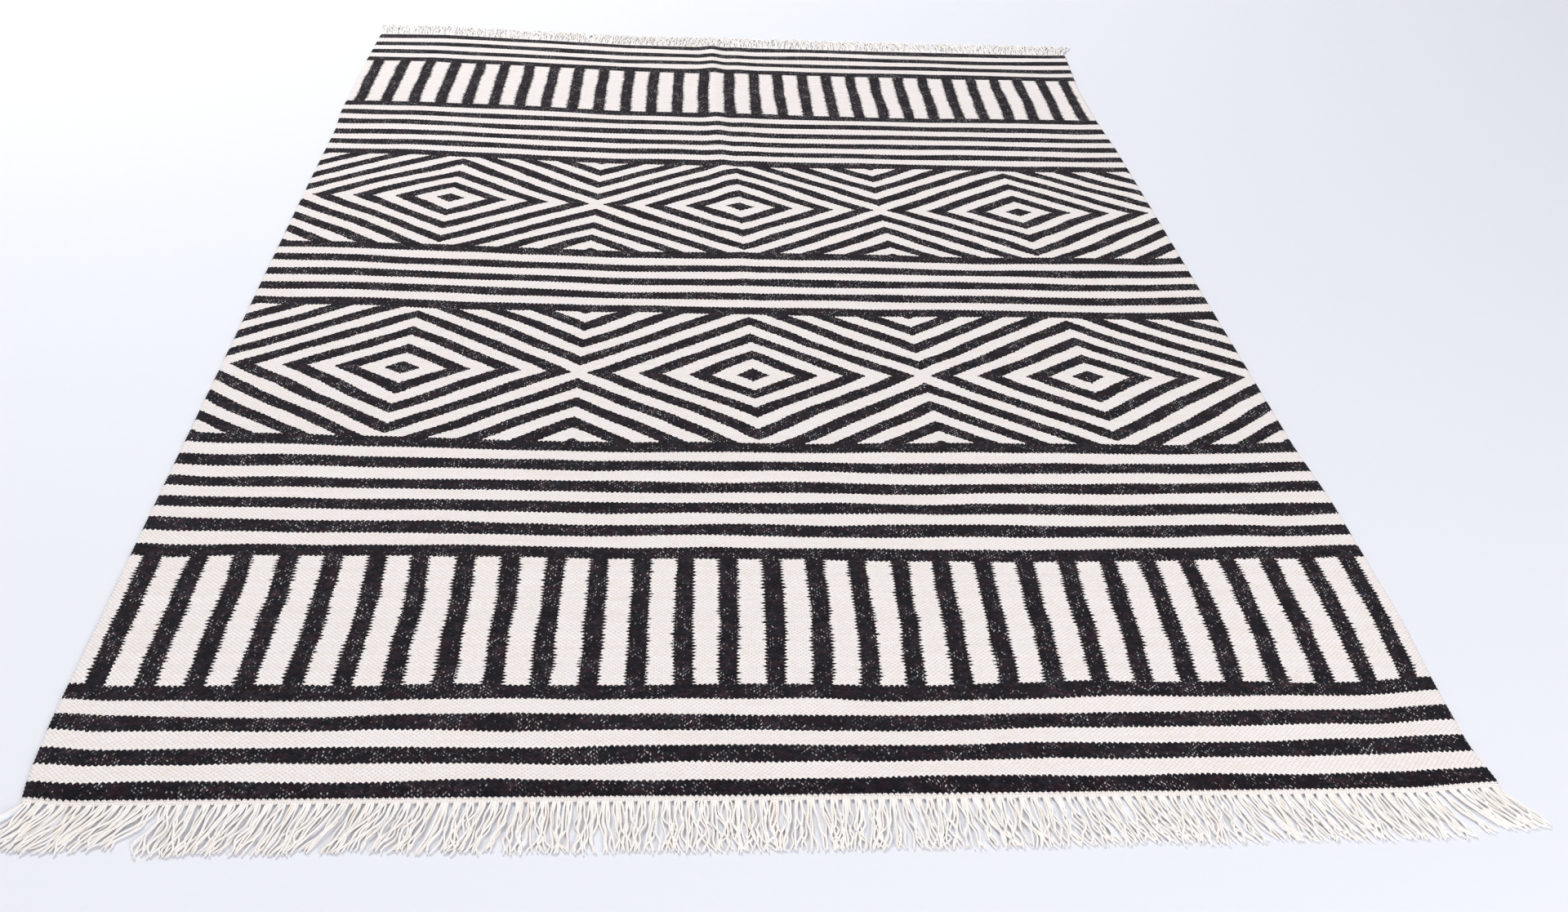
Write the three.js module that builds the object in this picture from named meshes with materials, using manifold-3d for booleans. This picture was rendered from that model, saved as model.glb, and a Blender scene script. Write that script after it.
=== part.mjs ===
// A flat-woven kilim lying on a floor: a woven field, and a cotton heading with its fringe at each end.
// Millimetres, +Z up. X runs across the rug and Y along it, from the near end to the far end.
import * as THREE from 'three';
import { mergeVertices } from 'three/addons/utils/BufferGeometryUtils.js';
import Module from 'manifold-3d';

// Driving dimensions
const FIELD_WIDTH = 1700;
const FIELD_LENGTH = 2400;
const FIELD_THICKNESS = 4;
const HEADING_WIDTH = 7;
const HEADING_THICKNESS = 3.4;
const PIECE_GAP = 0.3;
const STRANDS_PER_END = 124;
const STRAND_LENGTH = 78;
const STRAND_HEIGHT = 2.6;
const STRAND_STEPS = 4;
const RIDGE_HEIGHT = 5;

const IVORY_WOOL = { color: 0xe9e2dc, roughness: 0.95, metalness: 0 };
const IVORY_COTTON = { color: 0xe4ddd6, roughness: 0.9, metalness: 0 };

// How far each edge of the field bows out past its straight line. "at" is the share of the way along it:
// from the near end to the far end on the long edges, and from left to right on the ends.
const LEFT_EDGE = [
  { at: 0, out: -8 }, { at: 0.012, out: -3 }, { at: 0.05, out: 1 }, { at: 0.44, out: 0 },
  { at: 0.66, out: -1 }, { at: 0.76, out: -3 }, { at: 0.8, out: 3 }, { at: 0.92, out: 1 },
  { at: 1, out: -4 },
];
const RIGHT_EDGE = [
  { at: 0, out: 5 }, { at: 0.025, out: -5 }, { at: 0.07, out: -2 }, { at: 0.12, out: 6 },
  { at: 0.23, out: 7 }, { at: 0.29, out: -1 }, { at: 0.76, out: -2 }, { at: 0.82, out: -8 },
  { at: 0.91, out: -6 }, { at: 1, out: 11 },
];
const NEAR_EDGE = [
  { at: 0, out: -7 }, { at: 0.03, out: -1 }, { at: 0.6, out: 1 }, { at: 0.94, out: -1 },
  { at: 0.98, out: -7 }, { at: 1, out: -9 },
];
const FAR_EDGE = [
  { at: 0, out: 2 }, { at: 0.03, out: 6 }, { at: 0.09, out: 10 }, { at: 0.18, out: 0 },
  { at: 0.35, out: -17 }, { at: 0.5, out: -13 }, { at: 0.71, out: -9 }, { at: 0.97, out: 6 },
  { at: 1, out: 11 },
];

// The soft fold that was left down the middle of the far half. Its section is a share of its height at each
// distance from the crest, and its rise and the crest's place change along the field.
const RIDGE_SECTION = [
  { at: -34, share: 0 }, { at: -16, share: 0.45 }, { at: 0, share: 1 }, { at: 12, share: 0.6 },
  { at: 30, share: 0 }, { at: 60, share: 0.25 }, { at: 96, share: 0 },
];
const RIDGE_ALONG = [
  { at: 0, rise: 0, crest: 0 }, { at: 0.44, rise: 0, crest: 0 }, { at: 0.56, rise: 0.45, crest: -8 },
  { at: 0.7, rise: 0.65, crest: -30 }, { at: 0.85, rise: 0.8, crest: -39 }, { at: 1, rise: 1, crest: -39 },
];
const RIDGE_COLUMN_REACH = 0.2;
const RIDGE_FADE = 45;
const EVEN_COLUMNS = 8;

// How far a strand's tip lies to the right of its root, by the root's place from left to right.
// A step between two rows leaves a bare gap in the fringe.
const NEAR_LEAN = [
  { at: 0, lean: -27 }, { at: 0.03, lean: -34 }, { at: 0.086, lean: -44 }, { at: 0.087, lean: -10 },
  { at: 0.13, lean: -8 }, { at: 0.2, lean: -23 }, { at: 0.315, lean: -17 }, { at: 0.316, lean: -2 },
  { at: 0.6, lean: 5 }, { at: 0.75, lean: 22 }, { at: 0.955, lean: 20 }, { at: 0.956, lean: 44 },
  { at: 1, lean: 46 },
];
const FAR_LEAN = [
  { at: 0, lean: -16 }, { at: 0.12, lean: -6 }, { at: 0.4, lean: 8 }, { at: 0.7, lean: -4 },
  { at: 0.88, lean: 6 }, { at: 1, lean: 18 },
];
// A strand's width from root to tip: wide where it leaves the heading, then drawn in.
const STRAND_WIDTHS = [{ at: 0, width: 9 }, { at: 0.25, width: 6 }, { at: 1, width: 6.2 }];
const STRAND_ROOT_DEPTH = 3;
const STRAND_CURVE = 1.25;
const STRAND_WANDER = { lean: 1.2, length: 1.2, leanTurn: 1.7, lengthTurn: 2.3 };

const wasm = await Module();
wasm.setup();

// The value of one column of a table at a place along it, straight between the rows.
function between(table, column, at) {
  const last = table.length - 1;
  if (at <= table[0].at) return table[0][column];
  if (at >= table[last].at) return table[last][column];
  const next = table.findIndex((row) => row.at >= at);
  const from = table[next - 1];
  const to = table[next];
  return THREE.MathUtils.mapLinear(at, from.at, to.at, from[column], to[column]);
}

// All the places of some tables in order, each once.
function stationsOf(...tables) {
  const places = tables.flat().map((row) => row.at);
  return [...new Set(places)].sort((a, b) => a - b);
}

const acrossStations = (() => {
  const evenly = Array.from({ length: EVEN_COLUMNS + 1 }, (_, i) => ({ at: i / EVEN_COLUMNS }));
  const ridge = RIDGE_SECTION.map((row) => ({ at: 0.5 + row.at / FIELD_WIDTH }));
  return stationsOf(NEAR_EDGE, FAR_EDGE, evenly, ridge);
})();
const alongStations = stationsOf(LEFT_EDGE, RIGHT_EDGE, RIDGE_ALONG);

// How high the fold lifts the cloth, fading out past the far edge, where the fringe falls back to the floor.
function ridgeLift(x, y) {
  const along = Math.min(y / FIELD_LENGTH + 0.5, 1);
  const past = Math.max(y - FIELD_LENGTH / 2, 0);
  const fade = 1 - THREE.MathUtils.smoothstep(past, 0, RIDGE_FADE);
  const rise = RIDGE_HEIGHT * between(RIDGE_ALONG, 'rise', along) * fade;
  return rise * between(RIDGE_SECTION, 'share', x - between(RIDGE_ALONG, 'crest', along));
}

// The place on the floor of a point given by its shares of the way across and along the field. The columns
// near the middle follow the crest of the fold.
function fieldPoint(across, along) {
  const left = -FIELD_WIDTH / 2 - between(LEFT_EDGE, 'out', along);
  const right = FIELD_WIDTH / 2 + between(RIGHT_EDGE, 'out', along);
  const near = -FIELD_LENGTH / 2 - between(NEAR_EDGE, 'out', across);
  const far = FIELD_LENGTH / 2 + between(FAR_EDGE, 'out', across);
  const pull = Math.max(0, 1 - Math.abs(across - 0.5) / RIDGE_COLUMN_REACH);
  const drift = pull * (between(RIDGE_ALONG, 'crest', along) - (left + right) / 2);
  const { lerp } = THREE.MathUtils;
  return { x: lerp(left, right, across) + drift, y: lerp(near, far, along) };
}

// Moves every vertex of a geometry by a function of its place, and drops what the move makes untrue.
function reshape(geometry, place) {
  const position = geometry.getAttribute('position');
  for (let i = 0; i < position.count; i += 1) {
    const moved = place(position.getX(i), position.getY(i), position.getZ(i));
    position.setXYZ(i, moved.x, moved.y, moved.z);
  }
  geometry.deleteAttribute('normal');
  geometry.deleteAttribute('uv');
  return mergeVertices(geometry);
}

// A thin box whose columns and rows fall on stations given as shares of its width and length.
function stationBox(across, along, place) {
  const columns = across.length - 1;
  const rows = along.length - 1;
  const box = new THREE.BoxGeometry(columns, rows, 1, columns, rows, 1);
  return reshape(box, (x, y, z) => {
    const column = Math.round(x + columns / 2);
    const row = Math.round(y + rows / 2);
    return place(across[column], along[row], z + 0.5);
  });
}

function fieldGeometry() {
  return stationBox(acrossStations, alongStations, (across, along, up) => {
    const { x, y } = fieldPoint(across, along);
    return { x, y, z: ridgeLift(x, y) + up * FIELD_THICKNESS };
  });
}

// The twined heading: a narrow strip along one end of the field, parted from its edge. "side" is -1 at the
// near end and 1 at the far end.
function headingGeometry(side) {
  const end = side < 0 ? 0 : 1;
  return stationBox(acrossStations, [0, 1], (across, along, up) => {
    const edge = fieldPoint(across, end);
    const outward = side < 0 ? 1 - along : along;
    const y = edge.y + side * (PIECE_GAP + outward * HEADING_WIDTH);
    return { x: edge.x, y, z: ridgeLift(edge.x, y) + up * HEADING_THICKNESS };
  });
}

// One strand of the fringe: a low three-sided lock that rests flat on the floor along its whole length.
function strandGeometry(side, index, leanTable) {
  const across = (index + 0.5) / STRANDS_PER_END;
  const root = fieldPoint(across, side < 0 ? 0 : 1);
  const wander = Math.sin(index * STRAND_WANDER.leanTurn);
  const lean = between(leanTable, 'lean', across) + STRAND_WANDER.lean * wander;
  const length = STRAND_LENGTH + STRAND_WANDER.length * Math.sin(index * STRAND_WANDER.lengthTurn);
  const reach = Math.sqrt(length ** 2 - lean ** 2);
  const start = PIECE_GAP + HEADING_WIDTH - STRAND_ROOT_DEPTH;
  const section = new THREE.Shape([
    new THREE.Vector2(-0.5, 0), new THREE.Vector2(0.5, 0), new THREE.Vector2(0, 1),
  ]);
  const options = { depth: 1, steps: STRAND_STEPS, bevelEnabled: false };
  const strand = new THREE.ExtrudeGeometry(section, options);
  return reshape(strand, (aside, up, along) => {
    const middle = root.x + lean * along ** STRAND_CURVE;
    const x = middle - side * aside * between(STRAND_WIDTHS, 'width', along);
    const y = root.y + side * (start + along * (reach - start));
    return { x, y, z: ridgeLift(middle, y) + up * STRAND_HEIGHT };
  });
}

function solidOf(geometry) {
  return new wasm.Manifold(new wasm.Mesh({
    numProp: 3,
    vertProperties: Float32Array.from(geometry.getAttribute('position').array),
    triVerts: Uint32Array.from(geometry.index.array),
  }));
}

function geometryOf(solid) {
  const mesh = solid.getMesh();
  const geometry = new THREE.BufferGeometry();
  geometry.setAttribute('position', new THREE.BufferAttribute(mesh.vertProperties, 3));
  geometry.setIndex(new THREE.BufferAttribute(mesh.triVerts, 1));
  return geometry;
}

// A heading with its strands: apart from each other on the floor, and one solid at their roots.
function fringeGeometry(side, leanTable) {
  let fringe = solidOf(headingGeometry(side));
  for (let index = 0; index < STRANDS_PER_END; index += 1) {
    fringe = fringe.add(solidOf(strandGeometry(side, index, leanTable)));
  }
  return geometryOf(fringe);
}

function piece(name, geometry, finish) {
  geometry.computeVertexNormals();
  const mesh = new THREE.Mesh(geometry, new THREE.MeshStandardMaterial(finish));
  mesh.name = name;
  return mesh;
}

const kilim = new THREE.Group();
kilim.add(piece('woven_field', fieldGeometry(), IVORY_WOOL));
kilim.add(piece('near_end_fringe', fringeGeometry(-1, NEAR_LEAN), IVORY_COTTON));
kilim.add(piece('far_end_fringe', fringeGeometry(1, FAR_LEAN), IVORY_COTTON));

// The origin is under the middle of the whole rug, on the floor.
const bounds = new THREE.Box3().setFromObject(kilim);
const middle = bounds.getCenter(new THREE.Vector3());
kilim.position.set(-middle.x, -middle.y, -bounds.min.z);

export default kilim;
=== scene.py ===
"""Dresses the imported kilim: a flat-woven black and ivory field, its selvedges, twined headings and fringe."""

import logging
import math
from dataclasses import dataclass, field
from enum import Enum
from functools import reduce

import bmesh
import bpy
import numpy as np
from mathutils import Matrix, Vector


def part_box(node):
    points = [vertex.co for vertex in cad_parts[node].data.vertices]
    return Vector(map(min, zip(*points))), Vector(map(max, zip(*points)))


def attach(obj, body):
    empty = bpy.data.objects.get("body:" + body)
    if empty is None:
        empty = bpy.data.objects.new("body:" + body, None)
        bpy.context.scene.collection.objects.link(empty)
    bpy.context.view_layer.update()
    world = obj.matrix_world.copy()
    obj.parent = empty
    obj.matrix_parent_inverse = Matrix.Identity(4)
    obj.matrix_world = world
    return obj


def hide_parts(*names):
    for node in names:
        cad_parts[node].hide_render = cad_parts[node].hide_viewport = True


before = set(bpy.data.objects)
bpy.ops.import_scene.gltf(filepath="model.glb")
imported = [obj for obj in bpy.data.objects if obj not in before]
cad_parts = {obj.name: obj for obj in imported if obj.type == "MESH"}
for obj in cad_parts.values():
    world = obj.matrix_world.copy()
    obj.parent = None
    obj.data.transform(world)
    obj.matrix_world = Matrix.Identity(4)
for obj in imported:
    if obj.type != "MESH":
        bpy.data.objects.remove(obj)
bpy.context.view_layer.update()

ROOT_BODY = "root"
FIELD_NODE = "woven_field"
WEAVE_MAP = "weave"
BAKE_MAP = "OFBake"
MM = 0.001

log = logging.getLogger("kilim")

Colour = tuple[float, float, float, float]
Socket = bpy.types.NodeSocket
Value = Socket | float | Colour


class End(Enum):
    """The rug's two fringed ends, by the way that each points along Y."""

    NEAR = -1
    FAR = 1

    @property
    def along(self) -> float:
        """The end's share of the way along the field."""
        return 0.0 if self is End.NEAR else 1.0

    @property
    def node(self) -> str:
        """The name of the solid that stands for this end's heading and fringe."""
        return f"{self.name.lower()}_end_fringe"


class Side(Enum):
    """The rug's two selvedges, by their share of the way across the field."""

    LEFT = 0
    RIGHT = 1


@dataclass(frozen=True)
class Course:
    """Values at places along a line, straight from one to the next."""

    places: tuple[float, ...]
    values: tuple[float, ...]

    def read(self, place: np.ndarray, soften: float = 0.0) -> np.ndarray:
        """The values at some places.

        Args:
            place: Where to read, in the units of the places.
            soften: How far to each side the reading is averaged, which rounds the corners off.

        Returns:
            One value for each place.
        """
        spread = np.linspace(-soften, soften, 7) if soften else np.zeros(1)
        return np.mean([np.interp(place + step, self.places, self.values) for step in spread], axis=0)


@dataclass(frozen=True)
class ClothPlan:
    """The field's sizes and lie on the floor, in metres. Edge courses say how far an edge bows outwards."""

    width: float = 1.7
    length: float = 2.4
    thickness: float = 0.004
    warps: int = 496
    picks: int = 828
    left: Course = Course((0, .012, .05, .44, .66, .76, .8, .92, 1), (-8, -3, 1, 0, -1, -3, 3, 1, -4))
    right: Course = Course(
        (0, .025, .07, .12, .23, .29, .76, .82, .91, 1), (5, -5, -2, 6, 7, -1, -2, -8, -6, 11)
    )
    near: Course = Course((0, .03, .6, .94, .98, 1), (-7, -1, 1, -1, -7, -9))
    far: Course = Course((0, .03, .09, .18, .35, .5, .71, .97, 1), (2, 6, 10, 0, -17, -13, -9, 6, 11))
    ridge_height: float = 0.005
    ridge_section: Course = Course((-34, -16, 0, 12, 30, 60, 96), (0, .45, 1, .6, 0, .25, 0))
    ridge_rise: Course = Course((0, .44, .56, .7, .85, 1), (0, 0, .45, .65, .8, 1))
    ridge_crest: Course = Course((0, .44, .56, .7, .85, 1), (0, 0, -8, -30, -39, -39))
    ridge_fade: float = 0.045
    soften: float = 0.006

    @property
    def warp_pitch(self) -> float:
        """The distance from one warp to the next."""
        return self.width / self.warps

    @property
    def pick_pitch(self) -> float:
        """The distance from one weft pick to the next."""
        return self.length / self.picks

    @property
    def centre(self) -> Vector:
        """The field's middle in the frame, worked out from the lowest corner of its solid."""
        low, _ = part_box(FIELD_NODE)
        return Vector((
            low[0] + self.width / 2 + max(self.left.values) * MM,
            low[1] + self.length / 2 + max(self.near.values) * MM,
            0.0,
        ))

    def lift(self, x: np.ndarray, y: np.ndarray) -> np.ndarray:
        """How high the soft fold lifts the cloth at points of the field.

        Args:
            x: Distances across from the field's middle.
            y: Distances along from the field's middle.

        Returns:
            One height for each point. It fades out past the far end, where the fringe falls to the floor.
        """
        along = np.clip(y / self.length + 0.5, 0, 1)
        past = np.clip((y - self.length / 2) / self.ridge_fade, 0, 1)
        fade = 1 - past * past * (3 - 2 * past)
        crest = self.ridge_crest.read(along, 0.06)
        section = self.ridge_section.read(x / MM - crest, 7.0)
        return self.ridge_height * self.ridge_rise.read(along, 0.05) * fade * section

    def place(self, across: np.ndarray, along: np.ndarray) -> tuple[np.ndarray, np.ndarray]:
        """The points of the field at shares of the way across and along it.

        Args:
            across: Shares from the left selvedge to the right one.
            along: Shares from the near end to the far end.

        Returns:
            The points' x and y, from the field's middle.
        """
        left = -self.width / 2 - self.left.read(along, self.soften) * MM
        right = self.width / 2 + self.right.read(along, self.soften) * MM
        near = -self.length / 2 - self.near.read(across, self.soften) * MM
        far = self.length / 2 + self.far.read(across, self.soften) * MM
        return left + (right - left) * across, near + (far - near) * along


@dataclass(frozen=True)
class Drift:
    """Smooth chance over a surface: its features to a unit of x and of y, its layer and its finer detail."""

    x: float
    y: float
    layer: float = 0.0
    detail: float = 0.0


class Draw(float, Enum):
    """The layers that chance numbers are picked from, so that each trait of a float is picked by itself."""

    SHOWN = 0.0
    TONE = 3.0
    SLIP = 4.0
    HEATHER = 5.0
    STRENGTH = 7.0
    SLUB = 8.0
    SIZE = 9.0
    LEAN = 13.0


class Graph:
    """A material's node tree, with short methods that take and give sockets."""

    def __init__(self, name: str) -> None:
        """Starts an empty material of that name.

        Args:
            name: The material's name.
        """
        self.material = bpy.data.materials.new(name)
        self.material.use_nodes = True
        self.tree = self.material.node_tree
        self.tree.nodes.clear()

    def feed(self, socket: Socket, value: Value) -> None:
        """Links a socket to another one, or sets its own value.

        Args:
            socket: The socket to feed.
            value: What it is linked or set to.
        """
        if isinstance(value, Socket):
            self.tree.links.new(value, socket)
        else:
            socket.default_value = value

    def add(self, kind: str, feeds: dict | None = None, **settings: object) -> bpy.types.Node:
        """Adds a node.

        Args:
            kind: The node's type, without the words that all shader nodes start with.
            feeds: What each named input is linked or set to.
            **settings: The node's own settings.

        Returns:
            The new node.
        """
        node = self.tree.nodes.new(f"ShaderNode{kind}")
        for name, value in settings.items():
            setattr(node, name, value)
        for name, value in (feeds or {}).items():
            self.feed(node.inputs[name], value)
        return node

    def maths(self, operation: str, *values: Value) -> Socket:
        """The result of one Math node on sockets or numbers.

        Args:
            operation: What the node does.
            *values: What its inputs are linked or set to, in order.

        Returns:
            The node's output.
        """
        node = self.add("Math", operation=operation)
        for socket, value in zip(node.inputs, values):
            self.feed(socket, value)
        return node.outputs[0]

    def total(self, *values: Value) -> Socket:
        """The sum of some sockets and numbers."""
        return reduce(lambda first, second: self.maths("ADD", first, second), values)

    def product(self, *values: Value) -> Socket:
        """The product of some sockets and numbers."""
        return reduce(lambda first, second: self.maths("MULTIPLY", first, second), values)

    def difference(self, first: Value, second: Value) -> Socket:
        """The first value less the second."""
        return self.maths("SUBTRACT", first, second)

    def magnitude(self, value: Value) -> Socket:
        """A value without its sign."""
        return self.maths("ABSOLUTE", value)

    def nearest(self, value: Value) -> Socket:
        """The whole number nearest to a value."""
        return self.maths("FLOOR", self.maths("ADD", value, 0.5))

    def square(self, value: Value) -> Socket:
        """A value times itself."""
        return self.maths("MULTIPLY", value, value)

    def vector(self, x: Value, y: Value, z: Value = 0.0) -> Socket:
        """A vector of three sockets or numbers."""
        return self.add("CombineXYZ", {"X": x, "Y": y, "Z": z}).outputs["Vector"]

    def noise(self, vector: Socket, detail: float = 0.0) -> Socket:
        """Smooth noise from 0 to 1 with features about one unit wide."""
        feeds = {"Vector": vector, "Scale": 1.0, "Detail": detail}
        return self.add("TexNoise", feeds, noise_dimensions="3D").outputs["Fac"]

    def cloud(self, x: Value, y: Value, drift: Drift) -> Socket:
        """Smooth noise from 0 to 1 over two coordinates."""
        place = self.vector(self.product(x, drift.x), self.product(y, drift.y), drift.layer)
        return self.noise(place, drift.detail)

    def swing(self, x: Value, y: Value, drift: Drift, reach: float) -> Socket:
        """Smooth noise about 0 over two coordinates, which goes towards a reach on both sides."""
        return self.product(self.total(self.cloud(x, y, drift), -0.5), 2 * reach)

    def chance(self, x: Value, y: Value = 0.0, z: Value = 0.0) -> Socket:
        """A number from 0 to 1 that is picked afresh for each set of whole numbers."""
        feeds = {"Vector": self.vector(x, y, z)}
        return self.add("TexWhiteNoise", feeds, noise_dimensions="3D").outputs["Value"]

    def throw(self, x: Value, y: Value, draw: Draw, reach: Value) -> Socket:
        """A number about 0, up to half a reach either way, picked afresh for each pair of whole numbers."""
        return self.product(self.total(self.chance(x, y, draw), -0.5), reach)

    def rise(self, value: Value, low: float, high: float) -> Socket:
        """A smooth climb from 0 to 1 as a value goes from low to high."""
        feeds = {"Value": value, "From Min": low, "From Max": high}
        return self.add("MapRange", feeds, interpolation_type="SMOOTHSTEP").outputs["Result"]

    def span(self, value: Value, low: float, high: float) -> Socket:
        """A number from 0 to 1 stretched to run from low to high."""
        return self.add("MapRange", {"Value": value, "To Min": low, "To Max": high}).outputs["Result"]

    def blend(self, factor: Value, first: Value, second: Value, mode: str = "MIX") -> Socket:
        """A mix of two colours, or one laid over the other in some mode.

        Args:
            factor: How much of the second colour shows.
            first: The colour below.
            second: The colour above.
            mode: How the second is laid on the first.

        Returns:
            The mixed colour.
        """
        node = self.add("Mix", data_type="RGBA", blend_type=mode)
        for index, value in ((0, factor), (6, first), (7, second)):
            self.feed(node.inputs[index], value)
        return node.outputs[2]

    def shade(self, colour: Value, share: Value) -> Socket:
        """A colour times a share."""
        grey = self.add("CombineColor", {"Red": share, "Green": share, "Blue": share}).outputs["Color"]
        return self.blend(1.0, colour, grey, "MULTIPLY")

    def weave_map(self) -> tuple[Socket, Socket]:
        """The two coordinates of the piece's weave map.

        Returns:
            Its first and its second coordinate.
        """
        weave = self.add("UVMap", uv_map=WEAVE_MAP).outputs["UV"]
        parts = self.add("SeparateXYZ", {"Vector": weave})
        return parts.outputs["X"], parts.outputs["Y"]

    def finish(self, colour: Value, height: Value, depth: float, **surface: object) -> bpy.types.Material:
        """Ends the tree in one matt shader.

        Args:
            colour: The base colour, as a socket or a value.
            height: The relief, from 0 to about 1.
            depth: What a height of 1 measures, in metres.
            **surface: Values of the shader's own inputs, with underscores for spaces.

        Returns:
            The finished material.
        """
        bump = self.add("Bump", {"Height": height, "Distance": depth, "Strength": 1.0})
        feeds = {"Base Color": colour, "Normal": bump.outputs["Normal"]}
        feeds.update({name.replace("_", " "): value for name, value in surface.items()})
        shader = self.add("BsdfPrincipled", feeds)
        out = self.add("OutputMaterial")
        self.tree.links.new(shader.outputs["BSDF"], out.inputs["Surface"])
        return self.material


@dataclass(frozen=True)
class BandedDesign:
    """A plain banded design, the same from both ends and both sides. Lengths are in metres."""

    stripe: float = 0.0255
    end_stripes: int = 7
    bar_band: float = 0.24
    inner_stripes: int = 11
    middle_stripes: int = 9
    bar_pairs: int = 29
    bar_shift: float = 0.22
    bar_black: float = 0.45
    lozenges: int = 3
    lozenge_rings: float = 3.5
    lozenge_start: float = 0.15
    tooth: float = 0.0052
    tooth_sizes: tuple[float, float] = (0.5, 1.45)
    scallop: float = 0.0027
    scallop_sizes: tuple[float, float] = (0.8, 1.15)
    beating: Drift = Drift(7.0, 3.7, 15.0, 1.5)
    beating_reach: float = 0.0022

    def black(self, graph: Graph, plan: ClothPlan, across: Value, along: Value) -> Socket:
        """Where the black wool shows.

        Args:
            graph: The tree to add to.
            plan: The field's sizes.
            across: The point's place in warps.
            along: The point's place in picks.

        Returns:
            A socket that is 1 on black and 0 on ivory.
        """
        bars_at = self.end_stripes * self.stripe
        inner_at = bars_at + self.bar_band
        lozenges_at = inner_at + self.inner_stripes * self.stripe
        middle_at = (plan.length - self.middle_stripes * self.stripe) / 2
        x = graph.product(across, plan.warp_pitch)
        aside = graph.magnitude(graph.total(x, -plan.width / 2))
        from_middle = graph.magnitude(graph.total(graph.product(along, plan.pick_pitch), -plan.length / 2))
        inwards = graph.difference(plan.length / 2, from_middle)
        line = graph.nearest(graph.product(inwards, 1 / self.stripe))
        beaten = graph.swing(x, line, self.beating, self.beating_reach)
        fuller = graph.total(self._scallops(graph, across), beaten)
        reached = graph.difference(inwards, fuller)
        left_off = graph.total(inwards, fuller)
        past_ends = graph.maths("GREATER_THAN", reached, bars_at)
        past_bars = graph.maths("GREATER_THAN", left_off, inner_at)
        past_inner = graph.maths("GREATER_THAN", reached, lozenges_at)
        past_lozenges = graph.maths("GREATER_THAN", left_off, middle_at)
        start = graph.total(
            graph.product(past_bars, inner_at), graph.product(past_lozenges, middle_at - inner_at)
        )
        pairs = graph.product(graph.difference(inwards, start), 0.5 / self.stripe)
        off_stripe = self._off_middle(graph, pairs, 0.25, 2 * self.stripe)
        stripes = graph.maths("LESS_THAN", off_stripe, graph.total(fuller, self.stripe / 2))
        bars = self._bars(graph, plan, aside, along)
        lozenges = self._lozenges(graph, plan, aside, inwards, along, fuller, (lozenges_at, middle_at))
        in_bars = graph.difference(past_ends, past_bars)
        in_lozenges = graph.difference(past_inner, past_lozenges)
        in_stripes = graph.difference(1.0, graph.total(in_bars, in_lozenges))
        parts = ((stripes, in_stripes), (bars, in_bars), (lozenges, in_lozenges))
        return graph.total(*(graph.product(*part) for part in parts))

    def _off_middle(self, graph: Graph, places: Value, middle: float, period: float) -> Socket:
        """How far off the middle of the nearest black line a place is.

        Args:
            graph: The tree to add to.
            places: The place, counted in pairs of a black line and an ivory one.
            middle: Where the black line's middle lies in its pair.
            period: The width of a pair.

        Returns:
            The distance, in the units of the period.
        """
        turned = graph.maths("FRACT", graph.total(places, 0.5 - middle))
        return graph.product(graph.magnitude(graph.total(turned, -0.5)), period)

    def _scallops(self, graph: Graph, across: Value) -> Socket:
        """How much fuller a black stripe is where its thick weft bulges between two warps.

        Args:
            graph: The tree to add to.
            across: The point's place in warps.

        Returns:
            The extra width, in metres.
        """
        bulge = graph.magnitude(graph.maths("COSINE", graph.product(across, math.pi / 2)))
        picked = graph.chance(graph.nearest(graph.product(across, 0.5)), Draw.TONE)
        uneven = graph.span(picked, *self.scallop_sizes)
        return graph.product(graph.total(graph.product(bulge, uneven), -2 / math.pi), self.scallop)

    def _teeth(self, graph: Graph, along: Value, edge: Value) -> Socket:
        """How much further black reaches across at a pick: one tooth for each pair of picks.

        Args:
            graph: The tree to add to.
            along: The point's place in picks.
            edge: A whole number that tells one edge from the next.

        Returns:
            The reach, in metres.
        """
        pair = graph.maths("FLOOR", graph.product(along, 0.5))
        uneven = graph.span(graph.chance(pair, edge), *self.tooth_sizes)
        spike = graph.product(graph.maths("PINGPONG", along, 1.0), uneven)
        return graph.product(graph.total(spike, -0.5), self.tooth)

    def _bars(self, graph: Graph, plan: ClothPlan, aside: Value, along: Value) -> Socket:
        """Bars along the field, with teeth at their edges.

        Args:
            graph: The tree to add to.
            plan: The field's sizes.
            aside: The point's distance from the field's middle line.
            along: The point's place in picks.

        Returns:
            A socket that is 1 on black and 0 on ivory.
        """
        pitch = plan.width / self.bar_pairs
        places = graph.total(graph.product(aside, 1 / pitch), self.bar_shift)
        off_bar = self._off_middle(graph, places, self.bar_black / 2, pitch)
        edge = graph.maths("FLOOR", graph.product(graph.total(places, -self.bar_black / 2), 2.0))
        half = graph.total(self._teeth(graph, along, edge), pitch * self.bar_black / 2)
        return graph.maths("LESS_THAN", off_bar, half)

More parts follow.
